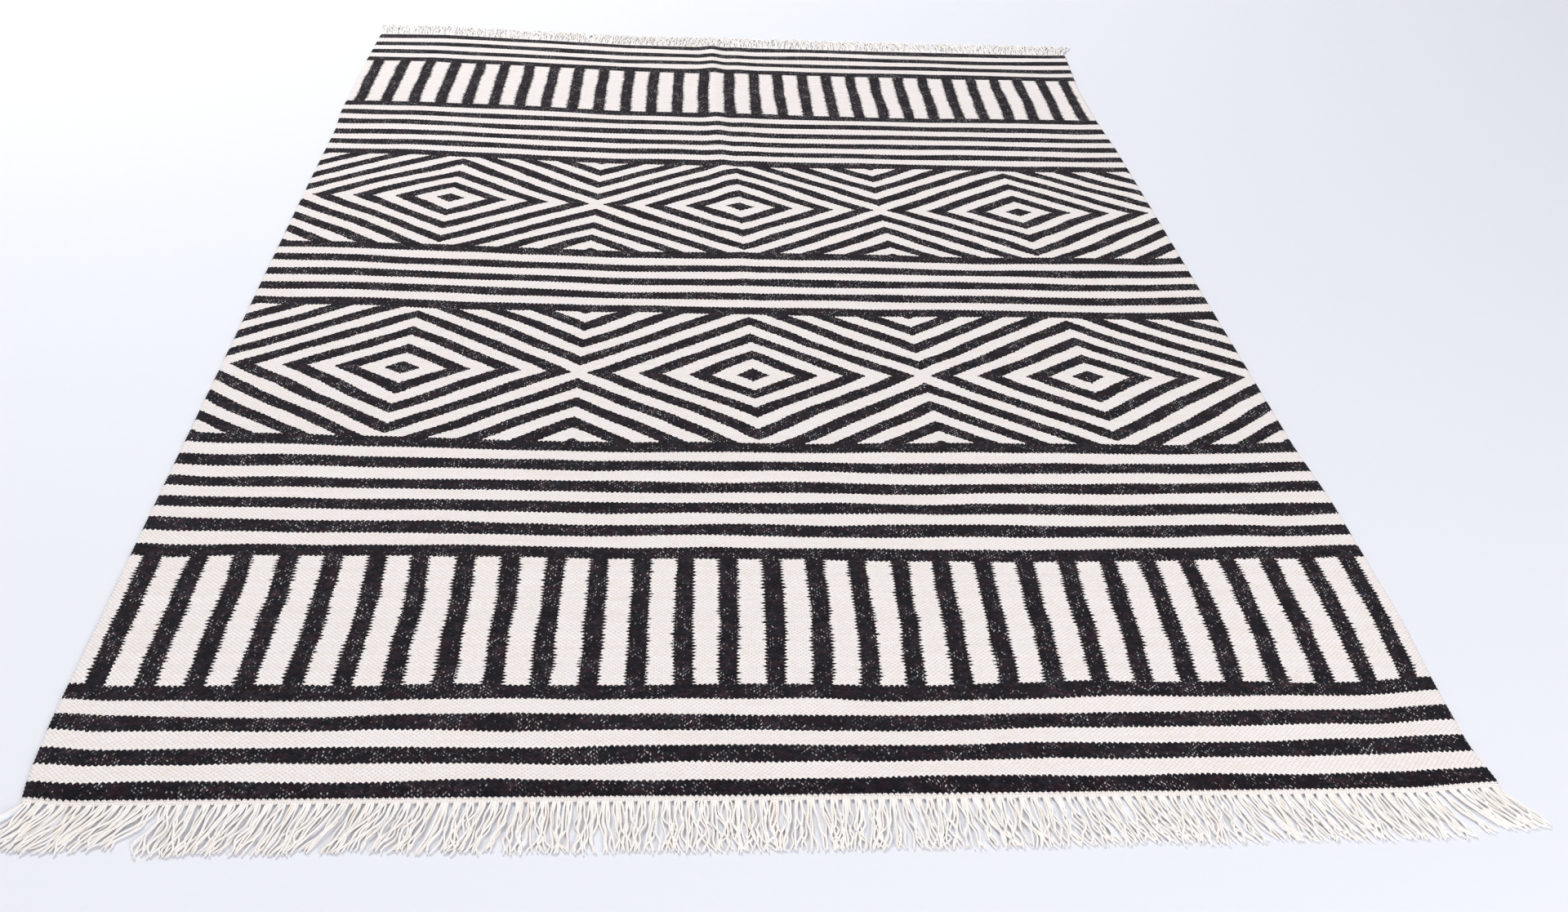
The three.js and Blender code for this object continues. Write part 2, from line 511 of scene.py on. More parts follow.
    def _lozenges(
        self, graph: Graph, plan: ClothPlan, aside: Value, inwards: Value, along: Value, fuller: Value,
        band: tuple[float, float]
    ) -> Socket:
        """Nested lozenges in a row across the field.

        Args:
            graph: The tree to add to.
            plan: The field's sizes.
            aside: The distance from the field's middle line.
            inwards: The distance from the nearer end.
            along: The point's place in picks.
            fuller: How much further black reaches along the field here.
            band: Where the lozenges start and end, as distances from the nearer end.

        Returns:
            A socket that is 1 on black and 0 on ivory.
        """
        low, high = band
        pitch = plan.width / self.lozenges
        turns = graph.maths("FRACT", graph.total(graph.product(aside, 1 / pitch), 0.5))
        off_x = graph.product(graph.magnitude(graph.total(turns, -0.5)), 2.0)
        off_y = graph.product(graph.magnitude(graph.total(inwards, -(low + high) / 2)), 2 / (high - low))
        rings = graph.product(graph.total(off_x, off_y), self.lozenge_rings)
        off_ring = self._off_middle(graph, rings, 0.25 - self.lozenge_start, 1.0)
        teeth = graph.product(self._teeth(graph, along, graph.nearest(rings)), self.lozenge_rings / pitch)
        bulge = graph.product(fuller, self.lozenge_rings / (high - low))
        return graph.maths("LESS_THAN", off_ring, graph.total(teeth, bulge, 0.25))


@dataclass(frozen=True)
class Spot:
    """A point of the cloth, as sockets: its place in threads, and the float of weft that it lies on.

    across and along count warps and picks. column and row are the float's own warp and pick, x its distance
    from the field's middle line and y from the near end. off_x and off_y go from -1 to 1 over the float.
    """

    across: Socket
    along: Socket
    column: Socket
    row: Socket
    off_x: Socket
    off_y: Socket
    x: Socket
    y: Socket


@dataclass(frozen=True)
class WoolWeave:
    """Weft-faced wool in black and ivory: each float of weft over a warp is one small lens of one colour."""

    design: BandedDesign = BandedDesign()
    ivory: Colour = (0.93, 0.87, 0.85, 1)
    cream: Colour = (0.91, 0.835, 0.785, 1)
    brown_black: Colour = (0.0245, 0.0143, 0.0185, 1)
    blue_black: Colour = (0.0130, 0.0128, 0.0172, 1)
    warp: Colour = (0.86, 0.83, 0.82, 1)
    relief: float = 0.0008
    fibre: Drift = Drift(1.4, 7.0, 0.0, 2.0)
    fibre_depth: float = 0.3
    roundness_across: float = 0.2
    roundness_along: float = 0.5
    pick_drift: Drift = Drift(6.0, 26.0, 4.0, 1.5)
    pick_reach: float = 3.4
    warp_drift: Drift = Drift(5.0, 9.0, 11.0, 1.0)
    warp_reach: float = 1.6
    crook: Drift = Drift(0.8, 0.8, 21.0, 1.0)
    crook_reach: float = 0.4
    crook_across: float = 0.6
    straight_ends: tuple[float, float] = (0.0015, 0.012)
    waver: Drift = Drift(14.0, 13.0, 9.0, 1.5)
    waver_reach: float = 0.0042
    dye: Drift = Drift(42.0, 90.0, 0.0, 1.0)
    dye_by_pick: float = 0.12
    dye_edge: tuple[float, float] = (0.42, 0.68)
    heather: float = 0.8
    heather_patches: Drift = Drift(30.0, 30.0, 6.0, 3.0)
    heather_edge: tuple[float, float] = (0.4, 0.7)
    least_heather: float = 0.3
    tint: Drift = Drift(7.0, 60.0, 3.0, 2.0)
    tint_edge: tuple[float, float] = (0.4, 0.8)
    slub: float = 0.5
    darkest_pick: float = 0.965
    speck: float = 0.00105
    speck_sizes: tuple[float, float] = (0.5, 1.1)
    speck_slip: float = 0.0009
    speck_lean: float = 2.0
    speck_narrowness: float = 1.3
    speck_flatness: float = 0.7
    speck_rim: tuple[float, float] = (0.7, 1.3)
    speck_clusters: Drift = Drift(0.09, 0.11, 2.0, 2.0)
    cluster_edge: tuple[float, float] = (0.36, 0.62)
    speck_shares: tuple[float, float] = (0.06, 0.58)
    faintest_speck: float = 0.1
    faintest_cluster: float = 0.22
    # Painted shade: the hollows between floats are darkened in the colour, more on black than on ivory.
    hollow_shade_edge: tuple[float, float] = (-0.2, 0.8)
    pale_hollow_shade: float = 0.26
    dark_hollow_shade: float = 0.42

    def material(self, plan: ClothPlan) -> bpy.types.Material:
        """Makes the weave's material.

        Args:
            plan: The field's sizes, with its warps and picks.

        Returns:
            The material, which reads the piece's weave map.
        """
        graph = Graph("woven_wool")
        spot = self._spot(graph, plan)
        black = self._black(graph, plan, spot)
        specks = self._specks(graph, plan, spot)
        height = graph.difference(1.0, graph.total(graph.square(spot.off_x), graph.square(spot.off_y)))
        colour = self._colour(graph, spot, black, specks, height)
        fibre = graph.cloud(spot.across, spot.along, self.fibre)
        return graph.finish(
            colour, graph.total(height, graph.product(fibre, self.fibre_depth)), self.relief, Roughness=0.95,
            Specular_IOR_Level=0.08, Sheen_Weight=0.03, Sheen_Roughness=0.5,
        )

    def _threads(self, graph: Graph, plan: ClothPlan) -> tuple[Socket, Socket]:
        """Counts warps and picks to a point, with the slow drift of both that beating up leaves in the cloth.

        Args:
            graph: The tree to add to.
            plan: The field's sizes.

        Returns:
            The point's place in warps and in picks.
        """
        u, v = graph.weave_map()
        to_end = graph.maths("MINIMUM", v, graph.difference(1.0, v))
        fade = graph.rise(to_end, *self.straight_ends)
        pick_shift = graph.product(graph.swing(u, v, self.pick_drift, self.pick_reach), fade)
        warp_shift = graph.swing(u, v, self.warp_drift, self.warp_reach)
        across = graph.total(graph.product(u, float(plan.warps)), warp_shift)
        along = graph.total(graph.product(v, float(plan.picks)), pick_shift)
        crook = graph.product(graph.swing(across, along, self.crook, self.crook_reach), fade)
        return graph.total(across, graph.product(crook, self.crook_across)), graph.total(along, crook)

    def _bow(self, graph: Graph, place: Value, bend: float) -> Socket:
        """Bends a place in threads, so that the floats' outlines come out round."""
        wave = graph.maths("SINE", graph.product(place, math.tau))
        return graph.total(place, graph.product(wave, -bend / math.tau))

    def _spot(self, graph: Graph, plan: ClothPlan) -> Spot:
        """Finds a point's place in threads and the float of weft that it lies on.

        Args:
            graph: The tree to add to.
            plan: The field's sizes.

        Returns:
            The point's spot of cloth.
        """
        across, along = self._threads(graph, plan)
        bowed_x = self._bow(graph, across, self.roundness_across)
        bowed_y = self._bow(graph, along, self.roundness_along)
        first = graph.nearest(graph.product(graph.total(bowed_x, bowed_y), 0.5))
        second = graph.nearest(graph.product(graph.difference(bowed_x, bowed_y), 0.5))
        column = graph.total(first, second)
        row = graph.difference(first, second)
        x = graph.total(graph.product(column, plan.warp_pitch), -plan.width / 2)
        y = graph.product(row, plan.pick_pitch)
        off_x = graph.difference(bowed_x, column)
        off_y = graph.difference(bowed_y, row)
        return Spot(across, along, column, row, off_x, off_y, x, y)

    def _black(self, graph: Graph, plan: ClothPlan, spot: Spot) -> Socket:
        """Reads the design at a spot, with a slow wander of its lines and ivory at the very ends.

        Args:
            graph: The tree to add to.
            plan: The field's sizes.
            spot: The spot of cloth.

        Returns:
            A socket that is 1 on black and 0 on ivory.
        """
        wander = graph.swing(spot.x, spot.y, self.waver, self.waver_reach / plan.warp_pitch)
        black = self.design.black(graph, plan, graph.total(spot.across, wander), spot.along)
        to_end = graph.maths("MINIMUM", spot.y, graph.difference(plan.length, spot.y))
        return graph.product(black, graph.maths("GREATER_THAN", to_end, 0.5 * plan.pick_pitch))

    def _corner(self, graph: Graph, spot: Spot) -> tuple[Socket, Socket]:
        """The warp and pick of the nearest place where four floats meet, on a warp between two floats.

        Args:
            graph: The tree to add to.
            spot: The spot of cloth.

        Returns:
            The place's warp and its pick.
        """
        beside = graph.maths("GREATER_THAN", graph.magnitude(spot.off_x), graph.magnitude(spot.off_y))
        above = graph.difference(1.0, beside)
        warp = graph.total(spot.column, graph.product(graph.maths("SIGN", spot.off_x), beside))
        pick = graph.total(spot.row, graph.product(graph.maths("SIGN", spot.off_y), above))
        return warp, pick

    def _specks(self, graph: Graph, plan: ClothPlan, spot: Spot) -> Socket:
        """Points of pale warp that peep out where four floats meet, in loose clusters.

        Args:
            graph: The tree to add to.
            plan: The field's sizes.
            spot: The spot of cloth.

        Returns:
            A socket that is 1 on a speck.
        """
        warp, pick = corner = self._corner(graph, spot)
        aside = graph.product(graph.difference(spot.across, warp), plan.warp_pitch)
        away = graph.product(graph.difference(spot.along, pick), self.speck_flatness * plan.pick_pitch)
        slip = graph.throw(*corner, Draw.SLIP, self.speck_slip)
        lean = graph.product(graph.throw(*corner, Draw.LEAN, away), self.speck_lean)
        narrow = graph.product(graph.total(aside, slip, lean), self.speck_narrowness)
        distance = graph.maths("SQRT", graph.total(graph.square(narrow), graph.square(away)))
        size = graph.product(graph.span(graph.chance(*corner, Draw.SIZE), *self.speck_sizes), self.speck)
        dot = graph.difference(1.0, graph.rise(graph.maths("DIVIDE", distance, size), *self.speck_rim))
        cluster = graph.rise(graph.cloud(*corner, self.speck_clusters), *self.cluster_edge)
        share = graph.span(cluster, *self.speck_shares)
        shown = graph.maths("LESS_THAN", graph.chance(*corner, Draw.SHOWN), share)
        strength = graph.span(graph.chance(*corner, Draw.STRENGTH), self.faintest_speck, 1.0)
        return graph.product(dot, shown, strength, graph.span(cluster, self.faintest_cluster, 1.0))

    def _colour(
        self, graph: Graph, spot: Spot, black: Value, specks: Value, height: Value
    ) -> Socket:
        """Lays the wool's colours, with painted shade in the hollows between floats.

        Args:
            graph: The tree to add to.
            spot: The spot of cloth.
            black: Where black shows.
            specks: Where the warp shows.
            height: The floats' relief, which sets the painted shade in the hollows between them.

        Returns:
            The colour.
        """
        by_pick = graph.product(graph.chance(spot.row), self.dye_by_pick)
        patch = graph.total(graph.cloud(spot.x, spot.y, self.dye), by_pick)
        dyed = graph.blend(graph.rise(patch, *self.dye_edge), self.brown_black, self.blue_black)
        mottled = graph.rise(graph.cloud(spot.x, spot.y, self.heather_patches), *self.heather_edge)
        mottled = graph.span(mottled, self.least_heather, 1.0)
        mixed = graph.product(graph.chance(spot.column, spot.row, Draw.HEATHER), mottled, 2 * self.heather)
        dark = graph.shade(dyed, graph.total(mixed, 1.0 - self.heather / 2))
        slub = graph.throw(spot.column, spot.row, Draw.SLUB, self.slub)
        wool = graph.total(graph.cloud(spot.x, spot.y, self.tint), slub)
        pale = graph.blend(graph.rise(wool, *self.tint_edge), self.ivory, self.cream)
        cloth = graph.blend(black, pale, dark)
        cloth = graph.blend(graph.product(specks, black), cloth, self.warp)
        pick_tone = graph.span(graph.chance(spot.row, Draw.TONE), self.darkest_pick, 1.0)
        # Painted shade: darkens the colour where the floats' relief is low, in the hollows between them.
        low = graph.difference(1.0, graph.rise(height, *self.hollow_shade_edge))
        depth = graph.span(black, self.pale_hollow_shade, self.dark_hollow_shade)
        hollow_shade = graph.difference(1.0, graph.product(low, depth))
        return graph.shade(cloth, graph.product(pick_tone, hollow_shade))


@dataclass(frozen=True)
class PliedCotton:
    """Loose plied cotton cord. Its weave map runs once round the cord and from its root to its tip."""

    pale: Colour = (0.97, 0.932, 0.892, 1)
    creamy: Colour = (0.955, 0.887, 0.82, 1)
    plies: float = 2.0
    twists: float = 16.0
    # Painted shade: the darkest share of the colour, down in the grooves between plies.
    groove_shade: float = 0.95
    relief: float = 0.00008
    tone_scale: tuple[float, float, float] = (90.0, 12.0, 12.0)
    tone_edge: tuple[float, float] = (0.45, 0.75)

    def material(self) -> bpy.types.Material:
        """Makes the cord's material: a ply winds round it with painted shade in its grooves, and its tone
        drifts from cord to cord.

        Returns:
            The material, which reads the piece's weave map.
        """
        graph = Graph("plied_cotton")
        round_cord, down_cord = graph.weave_map()
        turn = graph.total(graph.product(down_cord, self.twists), graph.product(round_cord, self.plies))
        ply = graph.magnitude(graph.maths("SINE", graph.product(turn, math.pi)))
        place = graph.add("TexCoord").outputs["Object"]
        spread = graph.add("Mapping", {"Vector": place, "Scale": self.tone_scale}).outputs["Vector"]
        tone = graph.rise(graph.noise(spread, 1.0), *self.tone_edge)
        colour = graph.blend(tone, self.pale, self.creamy)
        # Painted shade: the colour darkens in the ply's grooves.
        return graph.finish(
            graph.shade(colour, graph.span(ply, self.groove_shade, 1.0)), ply, self.relief, Roughness=0.88,
            Specular_IOR_Level=0.25, Sheen_Weight=0.1, Sheen_Roughness=0.5,
        )


@dataclass(frozen=True)
class TwinedCotton:
    """The heading's twined cotton. Its weave map runs round the band and along it, one unit to a warp."""

    pale: Colour = (0.93, 0.88, 0.85, 1)
    creamy: Colour = (0.91, 0.84, 0.785, 1)
    slant: float = 1.5
    # Painted shade: the darkest share of the colour, down in the grooves between strands.
    groove_shade: float = 0.88
    relief: float = 0.0004
    flecks: Drift = Drift(0.35, 1.0, 0.0, 2.0)
    fleck_edge: tuple[float, float] = (0.4, 0.7)

    def material(self) -> bpy.types.Material:
        """Makes the heading's material: two slanting strands wound round each warp, with painted shade in the
        grooves between them.

        Returns:
            The material, which reads the piece's weave map.
        """
        graph = Graph("twined_cotton")
        over, turned = graph.weave_map()
        wound = graph.total(over, graph.product(turned, self.slant))
        strand = graph.magnitude(graph.maths("SINE", graph.product(wound, math.pi)))
        fleck = graph.rise(graph.cloud(over, turned, self.flecks), *self.fleck_edge)
        colour = graph.blend(fleck, self.pale, self.creamy)
        # Painted shade: the colour darkens in the grooves between strands.
        shaded = graph.shade(colour, graph.span(strand, self.groove_shade, 1.0))
        return graph.finish(shaded, strand, self.relief, Roughness=0.9, Specular_IOR_Level=0.2)


@dataclass(frozen=True)
class PaleFloor:
    """A plain pale studio floor with a very faint unevenness."""

    colour: Colour = (0.80, 0.812, 0.862, 1)
    relief: float = 0.0002

    def material(self) -> bpy.types.Material:
        """Makes the floor's material.

        Returns:
            The material.
        """
        graph = Graph("pale_floor")
        place = graph.add("TexCoord").outputs["Object"]
        height = graph.noise(place, 2.0)
        return graph.finish(self.colour, height, self.relief, Roughness=0.7, Specular_IOR_Level=0.2)


def new_object(name: str, mesh: bpy.types.Mesh, material: bpy.types.Material) -> bpy.types.Object:
    """Puts a mesh in the scene under a name, smooth and in one finish.

    Args:
        name: The name of the object and its mesh.
        mesh: The mesh.
        material: Its finish.

    Returns:
        The new object.
    """
    mesh.materials.clear()
    mesh.materials.append(material)
    mesh.shade_smooth()
    made = bpy.data.objects.new(name, mesh)
    mesh.name = name
    bpy.context.scene.collection.objects.link(made)
    return made


def points_of(mesh: bpy.types.Mesh) -> np.ndarray:
    """A mesh's vertices as an array of points.

    Args:
        mesh: The mesh.

    Returns:
        One row for each vertex.
    """
    found = np.empty(3 * len(mesh.vertices))
    mesh.vertices.foreach_get("co", found)
    return found.reshape(-1, 3)


def move_points(mesh: bpy.types.Mesh, *coordinates: np.ndarray) -> None:
    """Gives a mesh's vertices new x, y and z."""
    mesh.vertices.foreach_set("co", np.stack(coordinates, axis=-1).astype(np.float32).ravel())
    mesh.update()


def map_of(mesh: bpy.types.Mesh, name: str) -> np.ndarray:
    """One of a mesh's UV maps as an array of places.

    Args:
        mesh: The mesh.
        name: The map's name.

    Returns:
        One row for each corner of a face.
    """
    found = np.empty(2 * len(mesh.loops))
    mesh.uv_layers[name].uv.foreach_get("vector", found)
    return found.reshape(-1, 2)


def set_map(mesh: bpy.types.Mesh, name: str, places: np.ndarray) -> None:
    """Writes one of a mesh's UV maps, and makes it if it isn't there."""
    layer = mesh.uv_layers.get(name) or mesh.uv_layers.new(name=name)
    layer.uv.foreach_set("vector", places.astype(np.float32).ravel())


def flat_grid(columns: int, rows: int, layers: int = 1) -> bpy.types.Mesh:
    """A grid from 0 to 1 in x and y, with its weave map the same.

    Args:
        columns: How many faces it has in x.
        rows: How many faces it has in y.
        layers: 2 adds the same grid again, facing down, with its vertices after the first one's.

    Returns:
        The mesh.
    """
    shape = bmesh.new()
    shape.loops.layers.uv.new(WEAVE_MAP)
    middle = Matrix.Translation((0.5, 0.5, 0))
    bmesh.ops.create_grid(shape, x_segments=columns, y_segments=rows, size=0.5, matrix=middle, calc_uvs=True)
    if layers == 2:
        copied = bmesh.ops.duplicate(shape, geom=shape.verts[:] + shape.edges[:] + shape.faces[:])
        under = [part for part in copied["geom"] if isinstance(part, bmesh.types.BMFace)]
        bmesh.ops.reverse_faces(shape, faces=under)
    mesh = bpy.data.meshes.new("grid")
    shape.to_mesh(mesh)
    shape.free()
    return mesh


def join_doubles(mesh: bpy.types.Mesh, fill: bool = False) -> None:
    """Merges a mesh's vertices that lie together, and may close its open ends and turn its faces outwards.

    Args:
        mesh: The mesh.
        fill: Whether its open ends are closed and its faces turned.
    """
    shape = bmesh.new()
    shape.from_mesh(mesh)
    bmesh.ops.remove_doubles(shape, verts=shape.verts[:], dist=1e-6)
    if fill:
        rims = [edge for edge in shape.edges if edge.is_boundary]
        bmesh.ops.holes_fill(shape, edges=rims)
        bmesh.ops.recalc_face_normals(shape, faces=shape.faces[:])
    shape.to_mesh(mesh)
    shape.free()


def unit_tube(steps: int, sides: int) -> bpy.types.Mesh:
    """A closed tube of radius 1 along x from 0 to 1, whose weave map runs round it and then along it.

    Args:
        steps: How many faces it has along.
        sides: How many faces it has round.

    Returns:
        The mesh.
    """
    mesh = flat_grid(steps, sides)
    grid = points_of(mesh)
    angle = grid[:, 1] * math.tau
    move_points(mesh, grid[:, 0], np.cos(angle), np.sin(angle))
    set_map(mesh, WEAVE_MAP, map_of(mesh, WEAVE_MAP)[:, ::-1])
    join_doubles(mesh, fill=True)
    return mesh


def copies_of(mesh: bpy.types.Mesh, count: int) -> bpy.types.Mesh:
    """The same mesh many times over in one place, each copy's vertices after the last one's.

    Args:
        mesh: The mesh to copy.
        count: How many copies there are.

    Returns:
        The new mesh.
    """
    carrier = bpy.data.objects.new("carrier", mesh)
    bpy.context.scene.collection.objects.link(carrier)
    array = carrier.modifiers.new("copies", "ARRAY")
    array.count = count
    array.use_relative_offset = False
    array.use_constant_offset = True
    array.constant_offset_displace = (0, 0, 0)
    evaluated = carrier.evaluated_get(bpy.context.evaluated_depsgraph_get())
    many = bpy.data.meshes.new_from_object(evaluated)
    bpy.data.objects.remove(carrier)
    return many


def claim(piece: bpy.types.Object, node: str) -> None:
    """Says what a piece rides on and which solid it stands for.

    Args:
        piece: The piece.
        node: The name of the solid.
    """
    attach(piece, ROOT_BODY)
    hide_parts(node)
    log.info("%s: %d faces", piece.name, len(piece.data.polygons))


def smooth_chance(rng: np.random.Generator, count: int, reach: int) -> np.ndarray:
    """Random numbers about 0 with a spread of 1, each like its neighbours within a reach.

    Args:
        rng: Where the numbers are drawn from.
        count: How many there are.
        reach: How many neighbours to each side are alike.

    Returns:
        The numbers.
    """
    window = np.hanning(2 * reach + 1)
    rough = rng.normal(size=count + 2 * reach)
    smooth = np.convolve(rough, window / np.sqrt((window ** 2).sum()), mode="valid")
    return smooth[:count]


@dataclass
class WovenField:
    """The woven cloth itself: a thin closed sheet with a rib over each warp and rounded edges."""

    plan: ClothPlan
    finish: bpy.types.Material
    rows: int = 44
    columns_per_warp: int = 2
    rib_depth: float = 0.00035
    edge_round: float = 0.0015
    cockle: float = 0.0012
    cockle_turns: tuple[float, float] = (7.3, 5.7)
    cockle_bends: tuple[float, float] = (3.1, 4.3)
    cockle_swings: tuple[float, float] = (1.1, 0.8)
    cockle_start: float = 1.0
    piece: bpy.types.Object = field(init=False)

    def build(self) -> None:
        """Makes the sheet's mesh and dresses it."""
        plan = self.plan
        columns = plan.warps * self.columns_per_warp
        mesh = flat_grid(columns, self.rows, layers=2)
        grid = points_of(mesh)
        across = grid[:, 0]
        along = self._row_places()[np.rint(grid[:, 1] * self.rows).astype(int)]
        top = np.arange(len(grid)) < len(grid) // 2
        x, y = plan.place(across, along)
        to_edge = np.minimum.reduce([
            across * plan.width, (1 - across) * plan.width, along * plan.length, (1 - along) * plan.length
        ])
        roundness = np.sqrt(1 - np.clip(1 - to_edge / self.edge_round, 0, 1) ** 2)
        valley = np.rint(across * columns).astype(int) % self.columns_per_warp != 0
        half = (plan.thickness / 2 - self.rib_depth * valley) * roundness
        base = plan.thickness / 2 + plan.lift(x, y) + self._cockle(x, y)
        move_points(mesh, x + plan.centre.x, y + plan.centre.y, np.where(top, base + half, base - half))
        flat = map_of(mesh, WEAVE_MAP)
        flat[:, 1] = self._row_places()[np.rint(flat[:, 1] * self.rows).astype(int)]
        set_map(mesh, WEAVE_MAP, flat)
        set_map(mesh, BAKE_MAP, flat)
        join_doubles(mesh)
        self.piece = new_object("woven_field_cloth", mesh, self.finish)

    def _row_places(self) -> np.ndarray:
        """The rows' places along the field: one close to each end, and the rest denser by the ends.

        Returns:
            Shares of the way along, one for each line of vertices.
        """
        inset = self.edge_round / self.plan.length
        even = np.linspace(0, 1, self.rows - 1)
        eased = (even + (1 - np.cos(np.pi * even)) / 2) / 2
        return np.concatenate([[0], inset + (1 - 2 * inset) * eased, [1]])

    def _cockle(self, x: np.ndarray, y: np.ndarray) -> np.ndarray:
        """A slow, slight rise and fall, so that the cloth isn't dead flat.

        Args:
            x: Distances across from the field's middle.
            y: Distances along from the field's middle.

        Returns:
            One height for each point.
        """
        turn_x, turn_y = self.cockle_turns
        bend_x, bend_y = self.cockle_bends
        swing_x, swing_y = self.cockle_swings
        wave_x = np.sin(x * turn_x + swing_x * np.sin(y * bend_x))
        wave_y = np.sin(y * turn_y + swing_y * np.sin(x * bend_y) + self.cockle_start)
        return self.cockle * (0.5 + 0.5 * wave_x * wave_y)

    def declare(self, others: list[bpy.types.Object]) -> None:
        """Says what the cloth rides on and stands for."""
        claim(self.piece, FIELD_NODE)


@dataclass
class Selvedge:
    """One long edge, where the weft turns round the outer warps in small scallops."""

    plan: ClothPlan
    side: Side
    finish: bpy.types.Material
    half_width: float = 0.0036
    half_height: float = 0.0023
    inset: float = 0.0022
    scallop: float = 0.13
    steps_per_turn: int = 4
    sides: int = 8
    piece: bpy.types.Object = field(init=False)

    def build(self) -> None:
        """Makes the edge as a thin flattened tube along the field's outline."""
        plan = self.plan
        outward = 1 if self.side is Side.RIGHT else -1
        turns = plan.picks // 2
        mesh = unit_tube(turns * self.steps_per_turn, self.sides)
        tube = points_of(mesh)
        along = tube[:, 0]
        edge_x, y = plan.place(np.full(len(tube), float(self.side.value)), along)
        swell = 1 + self.scallop * np.cos(along * turns * math.tau)
        taper = np.sqrt(np.clip(np.minimum(along, 1 - along) * plan.length / self.half_width, 0.05, 1))
        out = tube[:, 1] * self.half_width * swell * taper
        x = edge_x + outward * (out - self.inset)
        up = tube[:, 2] * self.half_height * taper
        z = np.maximum(plan.thickness / 2 + up * swell, 0)
        move_points(mesh, x + plan.centre.x, y + plan.centre.y, z)
        corners = np.empty(len(mesh.loops), dtype=int)
        mesh.loops.foreach_get("vertex_index", corners)
        shares = self.side.value + outward * (out - self.inset) / plan.width
        set_map(mesh, WEAVE_MAP, np.stack([shares[corners], along[corners]], axis=-1))
        self.piece = new_object(f"{self.side.name.lower()}_selvedge", mesh, self.finish)

    def declare(self) -> None:
        """Says what the edge rides on and stands for."""
        claim(self.piece, FIELD_NODE)


@dataclass
class Heading:
    """The twined cotton band that closes one end of the field."""

    plan: ClothPlan
    end: End
    finish: bpy.types.Material
    bundles: int = 124
    half_width: float = 0.0031
    half_height: float = 0.0019
    lap: float = 0.0016
    fullness: float = 0.6
    steps_per_warp: int = 5
    sides: int = 10
    bead: float = 0.14
    bead_slant: float = 1.5
    unevenness: float = 0.14
    uneven_turns: tuple[float, float] = (151.0, 397.0)
    uneven_bend: float = 67.0
    uneven_swing: float = 2.0
    uneven_start: float = 1.3
    pull: float = 0.30
    arch: float = 1.0
    piece: bpy.types.Object = field(init=False)

    @property
    def outer_edge(self) -> float:
        """How far past the field's end the band reaches."""
        return 2 * self.half_width - self.lap

    def build(self) -> None:
        """Makes the band as a flattened tube with a small bead over each warp."""
        plan = self.plan
        out = self.end.value
        mesh = unit_tube(plan.warps * self.steps_per_warp, self.sides)
        tube = points_of(mesh)
        across = tube[:, 0]
        x, end_y = plan.place(across, np.full(len(tube), self.end.along))
        angle = np.arctan2(tube[:, 2], tube[:, 1])
        twine = 0.5 * np.cos(across * plan.warps * math.tau - self.bead_slant * angle) - 0.5
        outer = np.clip(tube[:, 1], 0, 1)
        gap = 0.5 * (1 + np.cos(across * self.bundles * math.tau))
        uneven = self.unevenness * self._uneven(across)
        swell = 1 + self.bead * twine + uneven - self.pull * gap * outer
        middle_y = end_y + out * (self.half_width - self.lap)
        y = middle_y + tube[:, 1] * self.half_width * swell
        section = np.sign(tube[:, 2]) * np.abs(tube[:, 2]) ** self.fullness
        arched = np.where(tube[:, 2] < 0, 1 - self.arch * gap * outer, 1)
        flat_foot = np.maximum(self.half_height * (1 + section * swell * arched), 0)
        move_points(mesh, x + plan.centre.x, y + plan.centre.y, flat_foot + plan.lift(x, y))
        wound = map_of(mesh, WEAVE_MAP)
        set_map(mesh, WEAVE_MAP, wound[:, ::-1] * np.array([plan.warps, 1.0]))
        self.piece = new_object(f"{self.end.name.lower()}_heading", mesh, self.finish)

    def _uneven(self, across: np.ndarray) -> np.ndarray:
        """A slow swelling and thinning along the band, from -1 to 1.

        Args:
            across: Shares of the way along the band.

        Returns:
            One number for each share.
        """
        first, second = self.uneven_turns
        bent = across * first + self.uneven_swing * np.sin(across * self.uneven_bend)
        return np.sin(bent) * np.sin(across * second + self.uneven_start)

    def declare(self) -> None:
        """Says what the band rides on and stands for."""
        claim(self.piece, self.end.node)


@dataclass(frozen=True)
class CordLie:
    """How the cords of one fringe lie, in metres: each value is a column with a row for each cord."""

    across: np.ndarray
    slot: np.ndarray
    spread: np.ndarray
    lean: np.ndarray
    wave: np.ndarray
    ripple: np.ndarray
    turns: np.ndarray
    start_turn: np.ndarray
    layer: np.ndarray
    length: np.ndarray
    raised: np.ndarray


